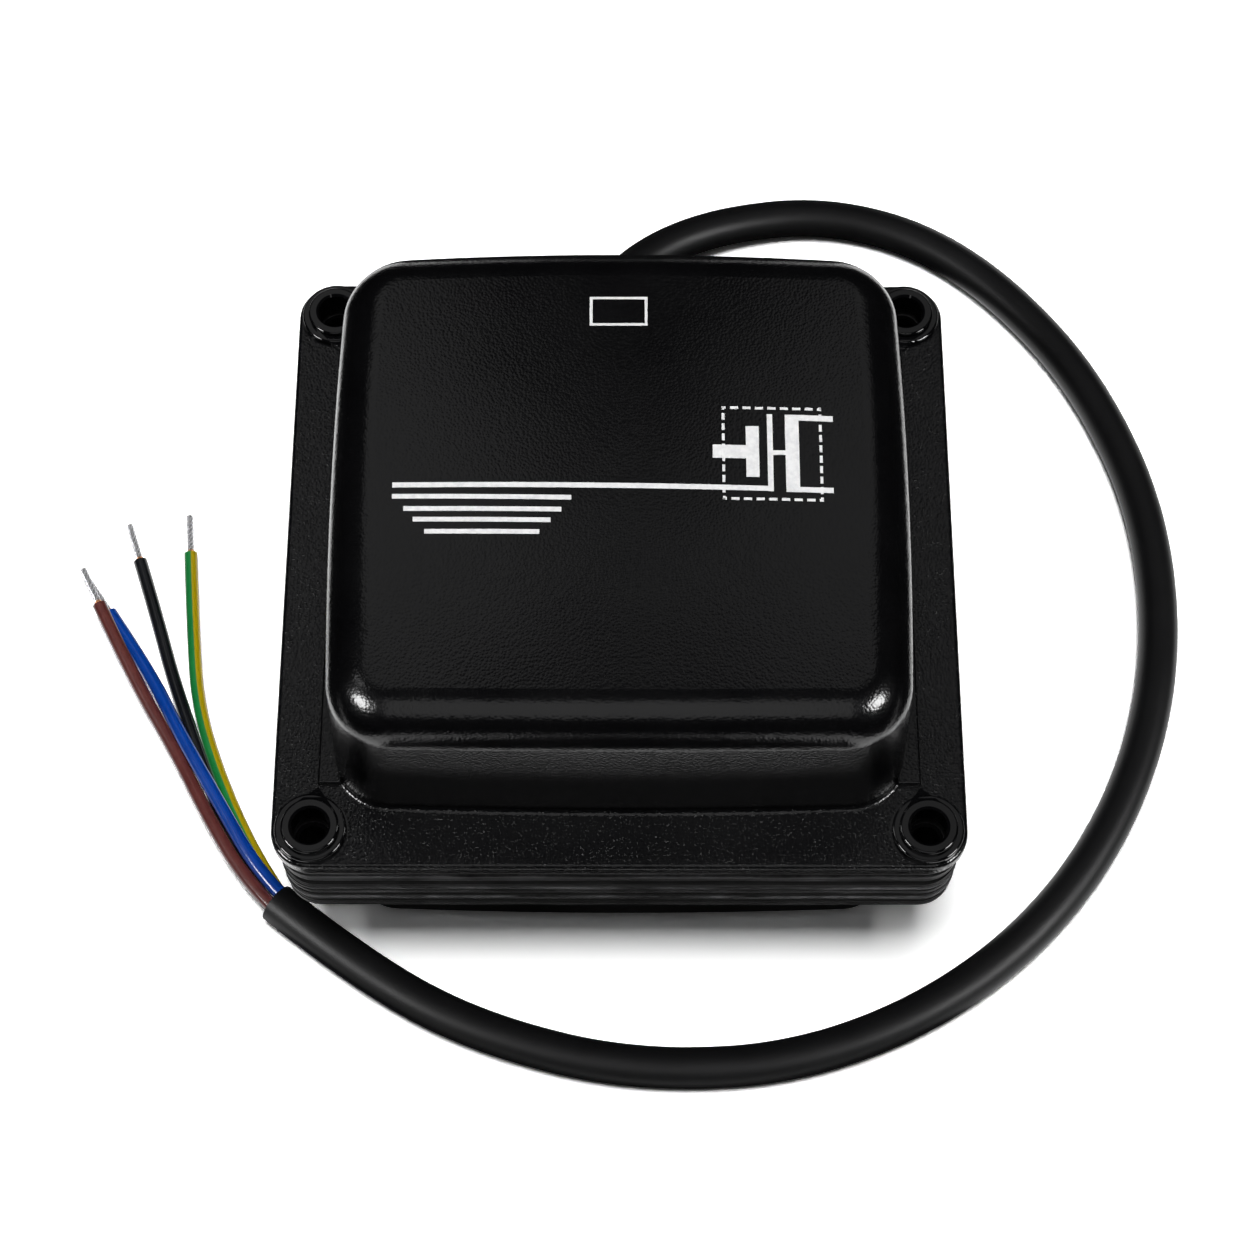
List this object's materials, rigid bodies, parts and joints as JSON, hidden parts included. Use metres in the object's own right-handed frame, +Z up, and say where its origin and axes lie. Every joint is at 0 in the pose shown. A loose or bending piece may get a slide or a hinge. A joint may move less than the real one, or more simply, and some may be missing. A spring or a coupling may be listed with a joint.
{
  "type": "ignition transformer",
  "caption": "Flat laminated core between two black moulded covers, with a high voltage socket and a free mains lead at the back; it steps mains up to a spark voltage for lighting a burner.",
  "frame": {"origin": "middle of the underside of the bottom cover", "axes": "+Z up through the covers, +Y towards the back where the lead and the socket are, +X to the right"},
  "size_m": [0.1866, 0.1644, 0.078],
  "materials": {
    "cover_moulding": "black moulding, fine grain, semi-gloss",
    "core_plates": "stacked steel plates, black lacquer",
    "grommet_rubber": "black rubber",
    "insulator": "black insulating moulding",
    "contact_brass": "turned brass",
    "sleeve_steel": "zinc plated steel",
    "bobbin_plastic": "natural moulding",
    "enamelled_copper": "enamelled copper wire, wound",
    "wrap_tape": "insulating tape",
    "shunt_steel": "steel plates",
    "sheath_rubber": "charcoal sheath, soft sheen",
    "core_brown": "brown insulation",
    "core_blue": "blue insulation",
    "core_black": "black insulation",
    "core_green_yellow": "green and yellow insulation",
    "tinned_copper": "tinned stranded copper"
  },
  "bodies": {
    "root": {"top_cover": "cover_moulding", "bottom_cover": "cover_moulding", "core_e_plates": "core_plates", "core_i_plates": "core_plates", "cable_grommet": "grommet_rubber", "hv_socket": "insulator", "hv_contact": "contact_brass", "clamp_sleeve_front_left": "sleeve_steel", "clamp_sleeve_front_right": "sleeve_steel", "clamp_sleeve_back_left": "sleeve_steel", "clamp_sleeve_back_right": "sleeve_steel", "primary_bobbin": "bobbin_plastic", "secondary_bobbin": "bobbin_plastic", "shunt_left": "shunt_steel", "shunt_right": "shunt_steel", "primary_winding": "enamelled_copper", "primary_wrap": "wrap_tape", "secondary_winding_1": "enamelled_copper", "secondary_winding_2": "enamelled_copper", "secondary_winding_3": "enamelled_copper", "secondary_winding_4": "enamelled_copper", "mains_sheath": "sheath_rubber", "wire_brown": "core_brown", "wire_blue": "core_blue", "wire_black": "core_black", "wire_green_yellow": "core_green_yellow", "tinned_end_brown": "tinned_copper", "tinned_end_blue": "tinned_copper", "tinned_end_black": "tinned_copper", "tinned_end_green_yellow": "tinned_copper"}
  },
  "joints": []
}
